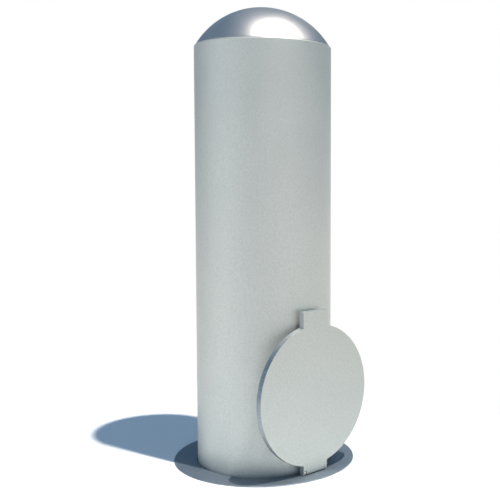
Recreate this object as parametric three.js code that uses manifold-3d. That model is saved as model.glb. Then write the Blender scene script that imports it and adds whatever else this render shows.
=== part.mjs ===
// Retractable security bollard with a hinged cover plate, in millimetres.
// +Z is up along the post axis, +X points to the cover plate's hinge.
// The origin is on the post axis at finished paving level.
// The post is modelled raised and unlocked, the cover plate upright.

import * as THREE from 'three';
import { mergeVertices } from 'three/addons/utils/BufferGeometryUtils.js';
import Module from 'manifold-3d';

const wasm = await Module();
wasm.setup();

// ---------------------------------------------------------------- dimensions
const GAP = 0.3;                 // gap left between pieces that touch
const SIDES = 40;                // sides of the large round pieces

const POST_R = 109.55;           // 219.1 mm tube
const POST_WALL = 6;
const POST_TOP = 670;            // tube's top edge above paving
const POST_BOTTOM = -163.7;
const DOME_R = 107.9;
const DOME_RISE = 61.7;
const DOME_WALL = 5;

const FLANGE_R = 147.5;
const FLANGE_HOLE_R = 110.8;     // runs close round the post
const FLANGE_TOP = 1.5;
const FLANGE_T = 8;
const SEAT_DEPTH = 3;            // step under the flange that the sleeve's end fits in

const SLEEVE_R = 136.5;          // 273 mm tube
const SLEEVE_WALL = 5;
const BASE_TOP = -940;
const BASE_T = 8;
const BASE_R = 150;
const DRAIN_R = 22;
const DRAIN_LEN = 60;

const LID_R = 110.3;
const LID_T = 9.5;
const LID_OUT_X = 123.9;         // outer face of the upright cover plate
const LID_CENTRE_Z = 125.1;
const TAB_HALF = 24.8;
const TAB_TOP_Z = 257.3;
const HINGE_X = LID_OUT_X - LID_T / 2;
const HINGE_Z = FLANGE_TOP + GAP + LID_T / 2;
const PIN_R = 3;
const KNUCKLE_HALF = 18.6;
const LUG_IN = 20;
const PIN_HALF = 23.2;
const BARREL_FOOT = 2.4;
const BARREL_LIP = 3.05;         // height above the pin of the plate's edge over each barrel

const LOCK_Z = -110.7;           // mid-height of the two lock bolts
const BOLT_H = 14;
const BOLT_W = 20;
const BOLT_IN = 13;
const BOLT_OUT = 108.5;
const BOLT_THROW = 17;
const BOLT_PIN_X = 20;
const BOLT_PIN_R = 4;
const CAM_R = 46;
const CAM_T = 6;
const SPINDLE_R = 6;
const HEAD_R = 9;

const SPRING_Y = 68;             // gas springs' distance from the post axis
const CYL_R = 14;
const CYL_BORE = 11.6;
const CYL_TOP = -105;
const CYL_BOTTOM = -900;
const ROD_R = 5;
const BRACKET_Z = 640;
const BRACKET_T = 8;

// ---------------------------------------------------------------- finishes
const finish = (name, color, roughness, metalness) => {
  const m = new THREE.MeshStandardMaterial({ color, roughness, metalness });
  m.name = name;
  return () => m.clone();
};
const satinSteel = finish('satin_steel', 0xbfc5c4, 0.5, 0.85);
const polishedSteel = finish('polished_steel', 0xd9dde0, 0.08, 1);
const flangeSteel = finish('flange_steel', 0x7d868c, 0.5, 0.8);
const galvanised = finish('galvanised', 0x9aa1a5, 0.55, 0.8);
const plainSteel = finish('plain_steel', 0x8d9296, 0.45, 0.9);
const nylon = finish('nylon', 0xdad7c8, 0.6, 0);
const rubber = finish('rubber', 0x1d1e20, 0.85, 0);
const blackPaint = finish('black_paint', 0x17181a, 0.4, 0.2);
const chromeRod = finish('chrome_rod', 0xe4e6e8, 0.08, 1);
const bronze = finish('bronze', 0xa9824a, 0.4, 0.9);
const plastic = finish('grey_plastic', 0x5b6064, 0.6, 0);

// ---------------------------------------------------------------- helpers
function clean(geometry) {
  const g = geometry.clone();
  g.deleteAttribute('normal');
  if (g.attributes.uv) g.deleteAttribute('uv');
  return mergeVertices(g, 1e-4);
}

function toSolid(geometry) {
  const g = clean(geometry);
  const pos = g.attributes.position;
  let idx = Array.from(g.index.array);
  const keep = [];
  let volume = 0;
  for (let i = 0; i < idx.length; i += 3) {
    const [a, b, c] = [idx[i], idx[i + 1], idx[i + 2]];
    if (a === b || b === c || a === c) continue;
    keep.push(a, b, c);
    const A = new THREE.Vector3().fromBufferAttribute(pos, a);
    const B = new THREE.Vector3().fromBufferAttribute(pos, b);
    const C = new THREE.Vector3().fromBufferAttribute(pos, c);
    volume += A.dot(B.cross(C)) / 6;
  }
  idx = keep;
  if (volume < 0) for (let i = 0; i < idx.length; i += 3) [idx[i + 1], idx[i + 2]] = [idx[i + 2], idx[i + 1]];
  return new wasm.Manifold(new wasm.Mesh({
    numProp: 3,
    vertProperties: new Float32Array(pos.array),
    triVerts: new Uint32Array(idx),
  }));
}

function toGeometry(solid) {
  const mesh = solid.getMesh();
  const g = new THREE.BufferGeometry();
  g.setAttribute('position', new THREE.BufferAttribute(new Float32Array(mesh.vertProperties), 3));
  g.setIndex(new THREE.BufferAttribute(new Uint32Array(mesh.triVerts), 1));
  g.computeVertexNormals();
  return g;
}

// Solid of revolution about +Z from a closed profile of [radius, height] points.
function turned(profile, sides = SIDES) {
  const pts = profile.map(([r, z]) => new THREE.Vector2(r, z));
  pts.push(pts[0].clone());
  return toSolid(new THREE.LatheGeometry(pts, sides).rotateX(Math.PI / 2));
}
// Solid of revolution whose profile starts and ends on the axis.
function turnedSolid(profile, sides) {
  const pts = profile.map(([r, z]) => new THREE.Vector2(r, z));
  return toSolid(new THREE.LatheGeometry(pts, sides).rotateX(Math.PI / 2));
}
const ring = (r0, r1, z0, z1, sides = SIDES) => turned([[r0, z0], [r1, z0], [r1, z1], [r0, z1]], sides);
const rod = (r, z0, z1, sides = 20) => turnedSolid([[0, z0], [r, z0], [r, z1], [0, z1]], sides);
const rodAt = (r, z0, z1, x, y, sides = 20) => rod(r, z0, z1, sides).translate([x, y, 0]);
function block(x0, x1, y0, y1, z0, z1) {
  const g = new THREE.BoxGeometry(x1 - x0, y1 - y0, z1 - z0);
  g.translate((x0 + x1) / 2, (y0 + y1) / 2, (z0 + z1) / 2);
  return toSolid(g);
}
// Prism of an outline drawn in the X-Y plane.
function prismZ(shape, z0, z1, curveSegments = 16) {
  const g = new THREE.ExtrudeGeometry(shape, { depth: z1 - z0, bevelEnabled: false, curveSegments });
  g.translate(0, 0, z0);
  return toSolid(g);
}
// Prism of an outline drawn in the Y-Z plane, along X.
function prismX(shape, x0, x1, curveSegments = 16) {
  const g = new THREE.ExtrudeGeometry(shape, { depth: x1 - x0, bevelEnabled: false, curveSegments });
  g.applyMatrix4(new THREE.Matrix4().makeBasis(
    new THREE.Vector3(0, 1, 0), new THREE.Vector3(0, 0, 1), new THREE.Vector3(1, 0, 0)));
  g.translate(x0, 0, 0);
  return toSolid(g);
}
// Cylinder along Y.
function rodY(r, y0, y1, x, z, sides = 20) {
  const g = new THREE.CylinderGeometry(r, r, y1 - y0, sides);
  g.translate(x, (y0 + y1) / 2, z);
  return toSolid(g);
}
// Cylinder along X.
function rodX(r, x0, x1, y, z, sides = 16) {
  const g = new THREE.CylinderGeometry(r, r, x1 - x0, sides).rotateZ(Math.PI / 2);
  g.translate((x0 + x1) / 2, y, z);
  return toSolid(g);
}

const bollard = new THREE.Group();
bollard.name = 'retractable_bollard';
const groups = {};
for (const name of ['ground_frame', 'cover', 'post', 'lock', 'bolts']) {
  groups[name] = new THREE.Group();
  groups[name].name = name + '_group';
  bollard.add(groups[name]);
}
function put(group, name, solid, material) {
  const mesh = new THREE.Mesh(toGeometry(solid), material());
  mesh.name = name;
  groups[group].add(mesh);
}

// ================================================================ ground frame
// Flat ring set in the paving, its rim barely proud of the surface.
const sleeveTop = FLANGE_TOP - FLANGE_T + SEAT_DEPTH - GAP;
put('ground_frame', 'ground_flange', turned([
  [FLANGE_HOLE_R, FLANGE_TOP - FLANGE_T + SEAT_DEPTH], [SLEEVE_R + 0.5, FLANGE_TOP - FLANGE_T + SEAT_DEPTH],
  [SLEEVE_R + 0.5, FLANGE_TOP - FLANGE_T], [FLANGE_R, FLANGE_TOP - FLANGE_T],
  [FLANGE_R, FLANGE_TOP - 0.8], [FLANGE_R - 0.8, FLANGE_TOP],
  [FLANGE_HOLE_R + 0.8, FLANGE_TOP], [FLANGE_HOLE_R, FLANGE_TOP - 0.8]]), flangeSteel);

const sleeveIn = SLEEVE_R - SLEEVE_WALL;
put('ground_frame', 'sleeve_tube', ring(sleeveIn, SLEEVE_R, BASE_TOP + GAP, sleeveTop), galvanised);

// The drain stub's end is set flush in the base plate's hole.
const stubR = DRAIN_R + 3.5;
put('ground_frame', 'base_plate', ring(stubR + GAP, BASE_R, BASE_TOP - BASE_T, BASE_TOP), galvanised);
put('ground_frame', 'drain_stub', ring(DRAIN_R, stubR, BASE_TOP - BASE_T - DRAIN_LEN, BASE_TOP, SIDES), galvanised);

// Flat bars that key the sleeve into the concrete, one on each diagonal.
for (let i = 0; i < 4; i++) {
  const lug = block(SLEEVE_R + GAP, SLEEVE_R + GAP + 42, -4, 4, -420, -360);
  put('ground_frame', `anchor_lug_${i + 1}`, lug.rotate([0, 0, 45 + 90 * i]), galvanised);
}

const inner = sleeveIn - GAP;
put('ground_frame', 'wiper_seal', turned([
  [POST_R + 3, sleeveTop - 3], [125, sleeveTop - 3], [125, sleeveTop],
  [POST_R + 0.35, sleeveTop], [POST_R + 0.35, sleeveTop - 1.2]]), rubber);
put('ground_frame', 'guide_bush', ring(POST_R + 0.5, inner, -40, sleeveTop - 3 - GAP), nylon);
put('ground_frame', 'bush_ledge', ring(POST_R + 3, inner, -46, -40 - GAP), galvanised);

// Ring that the lock bolts enter, with a window for each bolt.
const keeperTop = -95, keeperBottom = -125;
const boltWindow = (x0, x1) => block(x0, x1, -BOLT_W / 2 - 0.7, BOLT_W / 2 + 0.7, LOCK_Z - BOLT_H / 2 - 0.7, LOCK_Z + BOLT_H / 2 + 0.7);
put('ground_frame', 'keeper_ring', ring(POST_R + 3, inner, keeperBottom, keeperTop)
  .subtract(boltWindow(100, 140)).subtract(boltWindow(-140, -100)), plainSteel);

// Rubber ring that the lowered post comes down on.
put('ground_frame', 'buffer_ring', turned([
  [100, BASE_TOP + GAP], [128, BASE_TOP + GAP], [128, BASE_TOP + 28], [124, BASE_TOP + 32],
  [104, BASE_TOP + 32], [100, BASE_TOP + 28]]), rubber);

// Hinge of the cover plate: two barrels on narrow feet with a captive pin, round so that the plate can
// swing past them both ways.
function lugSection(side) {
  const s = new THREE.Shape();
  s.moveTo(HINGE_X - BARREL_FOOT, FLANGE_TOP + GAP);
  s.lineTo(HINGE_X + BARREL_FOOT, FLANGE_TOP + GAP);
  s.absarc(HINGE_X, HINGE_Z, LID_T / 2, -Math.PI / 3, Math.PI * 4 / 3, false);
  s.lineTo(HINGE_X - BARREL_FOOT, FLANGE_TOP + GAP);
  const g = new THREE.ExtrudeGeometry(s, { depth: TAB_HALF - LUG_IN, bevelEnabled: false, curveSegments: 28 });
  // outline (x, z) with depth along +Y
  g.applyMatrix4(new THREE.Matrix4().set(1, 0, 0, 0, 0, 0, 1, 0, 0, 1, 0, 0, 0, 0, 0, 1));
  g.translate(0, side > 0 ? LUG_IN : -TAB_HALF, 0);
  return toSolid(g);
}
put('ground_frame', 'hinge_lug_left', lugSection(-1)
  .subtract(rodY(PIN_R + 0.3, -PIN_HALF - 0.3, -LUG_IN + 1, HINGE_X, HINGE_Z)), satinSteel);
put('ground_frame', 'hinge_lug_right', lugSection(1)
  .subtract(rodY(PIN_R + 0.3, LUG_IN - 1, PIN_HALF + 0.3, HINGE_X, HINGE_Z)), satinSteel);
put('ground_frame', 'hinge_pin', rodY(PIN_R, -PIN_HALF, PIN_HALF, HINGE_X, HINGE_Z), plainSteel);
for (const [side, name] of [[-1, 'left'], [1, 'right']]) {
  const y0 = side > 0 ? KNUCKLE_HALF + 0.3 : -KNUCKLE_HALF - 1.1;
  put('ground_frame', `friction_washer_${name}`, rodY(4.6, y0, y0 + 0.8, HINGE_X, HINGE_Z)
    .subtract(rodY(PIN_R + 0.3, y0 - 1, y0 + 2, HINGE_X, HINGE_Z)), bronze);
}

// Twin gas springs: cylinders stand on the base plate.
for (const [side, name] of [[-1, 'left'], [1, 'right']]) {
  const y = side * SPRING_Y;
  put('ground_frame', `gas_cylinder_${name}`, rodAt(CYL_R, CYL_BOTTOM, CYL_TOP, 0, y)
    .subtract(rodAt(CYL_BORE, CYL_BOTTOM + 8, CYL_TOP + 5, 0, y)), blackPaint);
  put('ground_frame', `gas_gland_${name}`, rodAt(CYL_BORE - GAP, CYL_TOP - 16, CYL_TOP, 0, y)
    .subtract(rodAt(ROD_R + 0.3, CYL_TOP - 20, CYL_TOP + 5, 0, y)), plastic);
  put('ground_frame', `cylinder_eye_${name}`, block(-8, 8, y - 4, y + 4, CYL_BOTTOM - 26, CYL_BOTTOM - GAP)
    .subtract(rodY(4.3, y - 6, y + 6, 0, CYL_BOTTOM - 17, 16)), plainSteel);
  put('ground_frame', `foot_bracket_${name}`, block(-14, 14, y - 13, y + 13, BASE_TOP + GAP, CYL_BOTTOM - 8)
    .subtract(block(-20, 20, y - 4.5, y + 4.5, BASE_TOP + 6, CYL_BOTTOM + 5))
    .subtract(rodY(4.3, y - 20, y + 20, 0, CYL_BOTTOM - 17, 16)), plainSteel);
  put('ground_frame', `foot_pin_${name}`, rodY(4, y - 14.5, y + 14.5, 0, CYL_BOTTOM - 17, 16), plainSteel);
}

// ================================================================ cover plate
{
  const a = Math.asin(TAB_HALF / LID_R);
  const n = 40;
  const s = new THREE.Shape();
  const notch = HINGE_Z + BARREL_LIP;
  const ring1 = [];
  // right-hand side of the disc, from the lower tab to the upper one
  for (let i = 0; i <= n; i++) {
    const t = -Math.PI / 2 + a + (Math.PI - 2 * a) * (i / n);
    ring1.push([LID_R * Math.cos(t), LID_CENTRE_Z + LID_R * Math.sin(t)]);
  }
  s.moveTo(TAB_HALF, notch);
  for (const [y, z] of ring1) s.lineTo(y, z);
  s.lineTo(TAB_HALF, TAB_TOP_Z);
  s.lineTo(-TAB_HALF, TAB_TOP_Z);
  for (const [y, z] of ring1.slice().reverse()) s.lineTo(-y, z);
  s.lineTo(-TAB_HALF, notch);
  s.lineTo(-KNUCKLE_HALF, notch);
  s.lineTo(-KNUCKLE_HALF, HINGE_Z);
  s.lineTo(KNUCKLE_HALF, HINGE_Z);
  s.lineTo(KNUCKLE_HALF, notch);
  const plate = prismX(s, LID_OUT_X - LID_T, LID_OUT_X);
  const knuckle = rodY(LID_T / 2, -KNUCKLE_HALF, KNUCKLE_HALF, HINGE_X, HINGE_Z, 28);
  // hollow over each fixed barrel, half a millimetre clear of it
  const over = (y0, y1) => rodY(LID_T / 2 + 0.5, y0, y1, HINGE_X, HINGE_Z, 32);
  put('cover', 'cover_plate', plate.add(knuckle)
    .subtract(over(KNUCKLE_HALF, TAB_HALF + 1)).subtract(over(-TAB_HALF - 1, -KNUCKLE_HALF))
    .subtract(rodY(PIN_R + 0.3, -30, 30, HINGE_X, HINGE_Z)), satinSteel);
}

// ================================================================ post
const postIn = POST_R - POST_WALL;
put('post', 'post_tube', turned([
  [postIn, POST_BOTTOM], [POST_R, POST_BOTTOM], [POST_R, POST_TOP - 1.5],
  [POST_R - 1.5, POST_TOP], [postIn, POST_TOP]])
  .subtract(boltWindow(90, 120)).subtract(boltWindow(-120, -90)), satinSteel);

const domeBase = POST_TOP + GAP;
const domeRad = (DOME_R ** 2 + DOME_RISE ** 2) / (2 * DOME_RISE);
const domeCentre = domeBase + DOME_RISE - domeRad;
const domeZ = (r, inset = 0) => domeCentre + Math.sqrt((domeRad - inset) ** 2 - r * r);
const HOUSING_R = 16;
{
  const outer = [], innerArc = [];
  const r0 = HOUSING_R + GAP;
  const a0 = Math.asin(r0 / domeRad), a1 = Math.asin(DOME_R / domeRad);
  for (let i = 0; i <= 8; i++) {
    const a = a1 + (a0 - a1) * i / 8;
    outer.push([domeRad * Math.sin(a), domeCentre + domeRad * Math.cos(a)]);
  }
  const rb = domeRad - DOME_WALL;
  const b1 = Math.acos((domeBase - domeCentre) / rb), b0 = Math.asin(r0 / rb);
  for (let i = 0; i <= 5; i++) {
    const b = b0 + (b1 - b0) * i / 5;
    innerArc.push([rb * Math.sin(b), domeCentre + rb * Math.cos(b)]);
  }
  put('post', 'dome_cap', turned([...outer, ...innerArc]), polishedSteel);
}
put('post', 'cap_ring', ring(96, postIn - GAP, 652, POST_TOP - 0.3), plainSteel);
put('post', 'lock_housing', turned([
  [SPINDLE_R + 0.4, 690], [14, 690], [14, 708], [22, 712], [22, domeZ(22, DOME_WALL) - 0.6],
  [HOUSING_R, domeZ(HOUSING_R, DOME_WALL) - 0.3], [HOUSING_R, domeZ(HOUSING_R)],
  [HEAD_R + 0.4, domeZ(HEAD_R)], [HEAD_R + 0.4, 700], [SPINDLE_R + 0.4, 700]], 24), plainSteel);

put('post', 'top_bracket', rod(postIn - GAP, BRACKET_Z, BRACKET_Z + BRACKET_T, SIDES)
  .subtract(rod(SPINDLE_R + 0.4, BRACKET_Z - 5, BRACKET_Z + 20))
  .subtract(rodAt(ROD_R + 0.3, BRACKET_Z - 5, BRACKET_Z + 20, 0, SPRING_Y))
  .subtract(rodAt(ROD_R + 0.3, BRACKET_Z - 5, BRACKET_Z + 20, 0, -SPRING_Y))
  .subtract(rodAt(28, BRACKET_Z - 5, BRACKET_Z + 20, 55, 0))
  .subtract(rodAt(28, BRACKET_Z - 5, BRACKET_Z + 20, -55, 0)), plainSteel);

for (const [side, name] of [[-1, 'left'], [1, 'right']]) {
  const y = side * SPRING_Y;
  put('post', `gas_rod_${name}`, rodAt(ROD_R, -152, BRACKET_Z + 22, 0, y), chromeRod);
  put('post', `gas_piston_${name}`, rodAt(CYL_BORE - 0.4, -149, -139, 0, y)
    .subtract(rodAt(ROD_R + 0.3, -155, -130, 0, y)), plainSteel);
  put('post', `rod_nut_${name}`, rodAt(9.2, BRACKET_Z + BRACKET_T + GAP, BRACKET_Z + BRACKET_T + 8, 0, y, 6)
    .subtract(rodAt(ROD_R + 0.3, BRACKET_Z, BRACKET_Z + 30, 0, y)), plainSteel);
}

// Diaphragm that carries the lock, clear of the gas springs.
const plateTop = LOCK_Z - BOLT_H / 2 - GAP;
put('post', 'lock_plate', rod(postIn - GAP, plateTop - 8, plateTop, SIDES)
  .subtract(rod(SPINDLE_R + 0.4, plateTop - 20, plateTop + 5))
  .subtract(rodAt(CYL_R + 3, plateTop - 20, plateTop + 5, 0, SPRING_Y))
  .subtract(rodAt(CYL_R + 3, plateTop - 20, plateTop + 5, 0, -SPRING_Y)), plainSteel);
for (const [side, name] of [[-1, 'left'], [1, 'right']]) {
  const [x0, x1] = side > 0 ? [58, 90] : [-90, -58];
  put('post', `bolt_guide_${name}`, block(x0, x1, -18, 18, plateTop + GAP, LOCK_Z + BOLT_H / 2 + 5)
    .subtract(block(x0 - 5, x1 + 5, -BOLT_W / 2 - 0.4, BOLT_W / 2 + 0.4, plateTop - 5, LOCK_Z + BOLT_H / 2 + 0.4)), plainSteel);
}
put('post', 'bump_ring', ring(POST_R + 3.2, 129, -129, keeperBottom - 0.4), rubber);
put('post', 'guide_collar', turned([
  [POST_R + GAP, -162], [130.2, -162], [130.9, -160.5], [130.9, -131.5], [130.2, -129.3], [POST_R + GAP, -129.3]]), nylon);
put('post', 'post_base_ring', ring(95, 129, -172, POST_BOTTOM - GAP), plainSteel);

// ================================================================ lock spindle
put('lock', 'lock_spindle', rod(SPINDLE_R, -137, 709.5), plainSteel);
put('lock', 'key_socket_head', rod(HEAD_R, 700.3, domeZ(HEAD_R) - 0.2, 24)
  .subtract(rod(SPINDLE_R + 0.3, 690, 710))
  .subtract(block(-5, 5, -5, 5, 714, 740)), plainSteel);
put('lock', 'spindle_collar', ring(SPINDLE_R + 0.3, 11, -135, plateTop - 8 - GAP, 20), plainSteel);
{
  // Cam disc with two spiral slots: the slot radius grows evenly with the turn.
  const camBottom = LOCK_Z + BOLT_H / 2 + 0.5;
  let cam = rod(CAM_R, camBottom, camBottom + CAM_T, 36).subtract(rod(SPINDLE_R + 0.3, camBottom - 5, camBottom + 20));
  const w = BOLT_PIN_R + 0.45, steps = 18;
  for (const turn of [0, Math.PI]) {
    const c = (f) => {
      const phi = turn - f * Math.PI / 2, r = BOLT_PIN_X + BOLT_THROW * f;
      return new THREE.Vector2(r * Math.cos(phi), r * Math.sin(phi));
    };
    const left = [], right = [];
    const dir = (f) => c(Math.min(1, f + 1e-3)).sub(c(Math.max(0, f - 1e-3))).normalize();
    for (let i = 0; i <= steps; i++) {
      const f = i / steps, p = c(f), d = dir(f);
      left.push(new THREE.Vector2(p.x - d.y * w, p.y + d.x * w));
      right.push(new THREE.Vector2(p.x + d.y * w, p.y - d.x * w));
    }
    const cap = (f, sign) => {
      const p = c(f), d = dir(f), out = [];
      for (let i = 1; i < 8; i++) {
        const a = Math.PI * i / 8;
        // from the left side round the end to the right side
        const u = Math.cos(a), v = Math.sin(a) * sign;
        out.push(new THREE.Vector2(p.x + (-d.y * u + d.x * v) * w, p.y + (d.x * u + d.y * v) * w));
      }
      return out;
    };
    const outline = [...left, ...cap(1, 1), ...right.reverse(), ...cap(0, -1).reverse()];
    cam = cam.subtract(prismZ(new THREE.Shape(outline), camBottom - 5, camBottom + CAM_T + 5));
  }
  put('lock', 'lock_cam', cam, plainSteel);
}

// ================================================================ lock bolts
for (const [side, name] of [[-1, 'left'], [1, 'right']]) {
  const bar = side > 0
    ? block(BOLT_IN, BOLT_OUT, -BOLT_W / 2, BOLT_W / 2, LOCK_Z - BOLT_H / 2, LOCK_Z + BOLT_H / 2)
    : block(-BOLT_OUT, -BOLT_IN, -BOLT_W / 2, BOLT_W / 2, LOCK_Z - BOLT_H / 2, LOCK_Z + BOLT_H / 2);
  const pin = rodAt(BOLT_PIN_R, LOCK_Z, LOCK_Z + BOLT_H / 2 + 0.5 + CAM_T + 1, side * BOLT_PIN_X, 0, 16);
  put('bolts', `lock_bolt_${name}`, bar.add(pin), plainSteel);
}

export default bollard;
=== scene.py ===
import math
import random

import bmesh
import bpy
import numpy as np
from mathutils import Matrix, Vector


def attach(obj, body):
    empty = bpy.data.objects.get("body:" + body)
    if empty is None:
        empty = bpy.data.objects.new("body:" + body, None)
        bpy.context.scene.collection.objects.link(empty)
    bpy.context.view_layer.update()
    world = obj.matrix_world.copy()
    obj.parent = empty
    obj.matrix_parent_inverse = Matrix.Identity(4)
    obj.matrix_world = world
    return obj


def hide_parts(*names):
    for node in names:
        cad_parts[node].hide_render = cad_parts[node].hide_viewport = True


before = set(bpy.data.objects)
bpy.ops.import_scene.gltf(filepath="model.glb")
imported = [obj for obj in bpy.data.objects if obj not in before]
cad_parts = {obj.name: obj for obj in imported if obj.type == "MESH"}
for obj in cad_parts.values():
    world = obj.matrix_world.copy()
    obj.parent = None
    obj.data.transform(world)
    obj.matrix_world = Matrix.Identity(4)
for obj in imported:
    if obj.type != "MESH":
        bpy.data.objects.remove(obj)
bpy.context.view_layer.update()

scene = bpy.context.scene
random.seed(7)
MM = 0.001

# ------------------------------------------------------------------ dimensions (mm), as in the part
POST_R, POST_WALL, POST_TOP, POST_BOTTOM = 109.55, 6.0, 670.0, -163.7
DOME_R, DOME_RISE, DOME_WALL = 107.9, 61.7, 5.0
GAP = 0.3
FLANGE_R, FLANGE_HOLE_R, FLANGE_TOP, FLANGE_T, SEAT = 147.5, 110.8, 1.5, 8.0, 3.0
SLEEVE_R, SLEEVE_WALL = 136.5, 5.0
BASE_TOP, BASE_T, BASE_R = -940.0, 8.0, 150.0
DRAIN_R, STUB_R, DRAIN_LEN = 22.0, 25.5, 60.0
LID_R, LID_T, LID_OUT_X, LID_CZ, TAB_HALF, TAB_TOP = 110.3, 9.5, 123.9, 125.1, 24.8, 257.3
HINGE_X = LID_OUT_X - LID_T / 2
HINGE_Z = FLANGE_TOP + GAP + LID_T / 2
KNUCKLE, LUG_IN, PIN_HALF, FOOT, LIP = 18.6, 20.0, 23.2, 2.4, 3.05
LOCK_Z, BOLT_H, BOLT_W = -110.7, 14.0, 20.0
SPRING_Y, CYL_R, CYL_BORE, CYL_TOP, CYL_BOTTOM, ROD_R = 68.0, 14.0, 11.6, -105.0, -900.0, 5.0
BRACKET_Z, BRACKET_T = 640.0, 8.0
SLEEVE_TOP = FLANGE_TOP - FLANGE_T + SEAT - GAP
SLEEVE_IN = SLEEVE_R - SLEEVE_WALL
POST_IN = POST_R - POST_WALL


# ------------------------------------------------------------------ node helpers
class Tree:
    """Small helper that adds and links shader nodes."""

    def __init__(self, name):
        self.mat = bpy.data.materials.new(name)
        self.mat.use_nodes = True
        self.nt = self.mat.node_tree
        self.nt.nodes.clear()
        self.out = self.nt.nodes.new("ShaderNodeOutputMaterial")
        self.bsdf = self.nt.nodes.new("ShaderNodeBsdfPrincipled")
        self.link(self.bsdf.outputs["BSDF"], self.out.inputs["Surface"])
        tc = self.nt.nodes.new("ShaderNodeTexCoord")
        self.coord, self.normal_out = tc.outputs["Object"], tc.outputs["Normal"]

    def link(self, a, b):
        self.nt.links.new(a, b)

    def node(self, kind, **props):
        n = self.nt.nodes.new(kind)
        for k, v in props.items():
            setattr(n, k, v)
        return n

    def mapped(self, scale=(1, 1, 1), rotation=(0, 0, 0), location=(0, 0, 0)):
        m = self.node("ShaderNodeMapping")
        m.inputs["Scale"].default_value = scale
        m.inputs["Rotation"].default_value = rotation
        m.inputs["Location"].default_value = location
        self.link(self.coord, m.inputs["Vector"])
        return m.outputs["Vector"]

    def noise(self, scale, detail=2.0, rough=0.5, vector=None, distortion=0.0):
        n = self.node("ShaderNodeTexNoise")
        n.inputs["Scale"].default_value = scale
        n.inputs["Detail"].default_value = detail
        n.inputs["Roughness"].default_value = rough
        n.inputs["Distortion"].default_value = distortion
        self.link(vector if vector is not None else self.coord, n.inputs["Vector"])
        return n.outputs["Fac"]

    def voronoi(self, scale, feature="F1", vector=None, out="Distance", randomness=1.0):
        n = self.node("ShaderNodeTexVoronoi", feature=feature)
        n.inputs["Scale"].default_value = scale
        n.inputs["Randomness"].default_value = randomness
        self.link(vector if vector is not None else self.coord, n.inputs["Vector"])
        return n.outputs[out]

    def ramp(self, fac, stops, interpolation="LINEAR"):
        r = self.node("ShaderNodeValToRGB")
        r.color_ramp.interpolation = interpolation
        e = r.color_ramp.elements
        while len(e) < len(stops):
            e.new(0.5)
        for i, (p, c) in enumerate(stops):
            e[i].position = p
            e[i].color = c if isinstance(c, tuple) else (c, c, c, 1)
        self.link(fac, r.inputs["Fac"])
        return r.outputs["Color"]

    def range(self, v, a, b, c, d, clamp=True):
        m = self.node("ShaderNodeMapRange", clamp=clamp)
        for k, x in zip(("From Min", "From Max", "To Min", "To Max"), (a, b, c, d)):
            m.inputs[k].default_value = x
        self.link(v, m.inputs["Value"])
        return m.outputs["Result"]

    def math(self, op, a, b=None, c=None, clamp=False):
        m = self.node("ShaderNodeMath", operation=op, use_clamp=clamp)
        for i, x in enumerate((a, b, c)):
            if x is None:
                continue
            if isinstance(x, (int, float)):
                m.inputs[i].default_value = x
            else:
                self.link(x, m.inputs[i])
        return m.outputs["Value"]

    def mix(self, fac, a, b, blend="MIX"):
        m = self.node("ShaderNodeMix", data_type="RGBA", blend_type=blend)
        for sock, x in ((m.inputs[0], fac), (m.inputs[6], a), (m.inputs[7], b)):
            if isinstance(x, (int, float)):
                sock.default_value = x
            elif isinstance(x, tuple):
                sock.default_value = x
            else:
                self.link(x, sock)
        return m.outputs[2]

    def bump(self, height, strength, distance, normal=None):
        b = self.node("ShaderNodeBump")
        b.inputs["Strength"].default_value = strength
        b.inputs["Distance"].default_value = distance
        self.link(height, b.inputs["Height"])
        if normal is not None:
            self.link(normal, b.inputs["Normal"])
        return b.outputs["Normal"]

    def xyz(self):
        s = self.node("ShaderNodeSeparateXYZ")
        self.link(self.coord, s.inputs["Vector"])
        return s.outputs["X"], s.outputs["Y"], s.outputs["Z"]

    def radius(self):
        x, y, _ = self.xyz()
        return self.math("SQRT", self.math("ADD", self.math("MULTIPLY", x, x), self.math("MULTIPLY", y, y)))

    def facing(self, axis):
        """How far the surface faces along one axis of the part, 0 to 1."""
        s = self.node("ShaderNodeSeparateXYZ")
        self.link(self.normal_out, s.inputs["Vector"])
        return self.math("ABSOLUTE", s.outputs["XYZ".index(axis)])

    def set(self, **values):
        for k, v in values.items():
            sock = self.bsdf.inputs[k.replace("_", " ")]
            if isinstance(v, (int, float, tuple)):
                sock.default_value = v
            else:
                self.link(v, sock)
        return self


def rgb(r, g, b):
    return (r, g, b, 1.0)


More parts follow.
